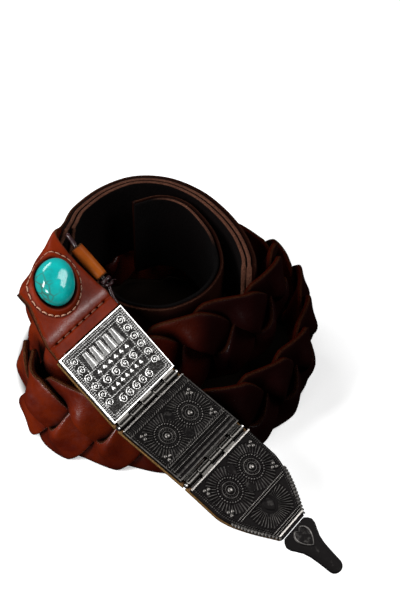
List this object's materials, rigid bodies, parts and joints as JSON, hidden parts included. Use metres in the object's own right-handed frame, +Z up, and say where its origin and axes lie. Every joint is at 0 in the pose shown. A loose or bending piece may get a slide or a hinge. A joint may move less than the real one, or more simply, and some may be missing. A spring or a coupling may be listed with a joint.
{
  "type": "braided leather belt",
  "caption": "Coiled braided leather belt standing on its edge, with a turquoise-set tab and hinged antique-silver plates ending in a pointed tip.",
  "frame": {"origin": "on the floor, under the middle of the object's box", "axes": "+Z up from the floor, square to the edge the belt stands on; -Y towards the side the plates hang over; +X to the right seen from there"},
  "size_m": [0.1338, 0.1966, 0.093],
  "materials": {
    "cognac_leather": "glazed red-brown cowhide, satin",
    "dark_leather": "dark brown lining leather, waxed",
    "tan_leather": "orange-tan vegetable-tanned leather",
    "turquoise": "polished turquoise with brown matrix",
    "bright_silver": "polished antique silver with blackened hollows",
    "dark_silver": "oxidised silver with rubbed ridges",
    "steel": "drawn wire",
    "thread": "waxed thread"
  },
  "bodies": {
    "coil": {"braid_strand_a": "cognac_leather", "braid_strand_b": "cognac_leather", "braid_strand_c": "cognac_leather", "strap_grain": "cognac_leather", "strap_core": "dark_leather", "strap_lining": "dark_leather", "end_strap_grain": "cognac_leather", "end_strap_lining": "dark_leather"},
    "tab": {"tab_leather": "cognac_leather", "tab_lining": "dark_leather", "turquoise_stone": "turquoise", "stone_collar": "cognac_leather", "ring_thread": "thread", "hem_thread": "thread", "lace": "dark_leather", "toggle_roll": "tan_leather", "lace_knot": "dark_leather"},
    "first_plate": {"plate_1": "bright_silver", "plate_1_backing": "tan_leather", "hinge_pin_1": "steel"},
    "second_plate": {"plate_2": "dark_silver", "plate_2_backing": "tan_leather", "hinge_pin_2": "steel"},
    "third_plate": {"plate_3": "dark_silver", "plate_3_backing": "tan_leather", "tip": "dark_silver"}
  },
  "joints": [
    {"name": "tab_fold", "type": "hinge", "parent": "coil", "child": "tab", "pos_m": [-0.05603, -0.00862, 0.08633], "axis": [-0.5684, -0.7918, -0.2234], "range_deg": [0, 20]},
    {"name": "tab_seam", "type": "hinge", "parent": "tab", "child": "first_plate", "pos_m": [-0.03407, -0.02868, 0.06863], "axis": [-0.6081, -0.7861, -0.111], "range_deg": [0, 20]},
    {"name": "plate_hinge_1", "type": "hinge", "parent": "first_plate", "child": "second_plate", "pos_m": [-0.01085, -0.0433, 0.0449], "axis": [-0.6081, -0.7861, -0.111], "range_deg": [0, 60]},
    {"name": "plate_hinge_2", "type": "hinge", "parent": "second_plate", "child": "third_plate", "pos_m": [0.01609, -0.06232, 0.03206], "axis": [-0.6081, -0.7861, -0.111], "range_deg": [0, 60]}
  ]
}
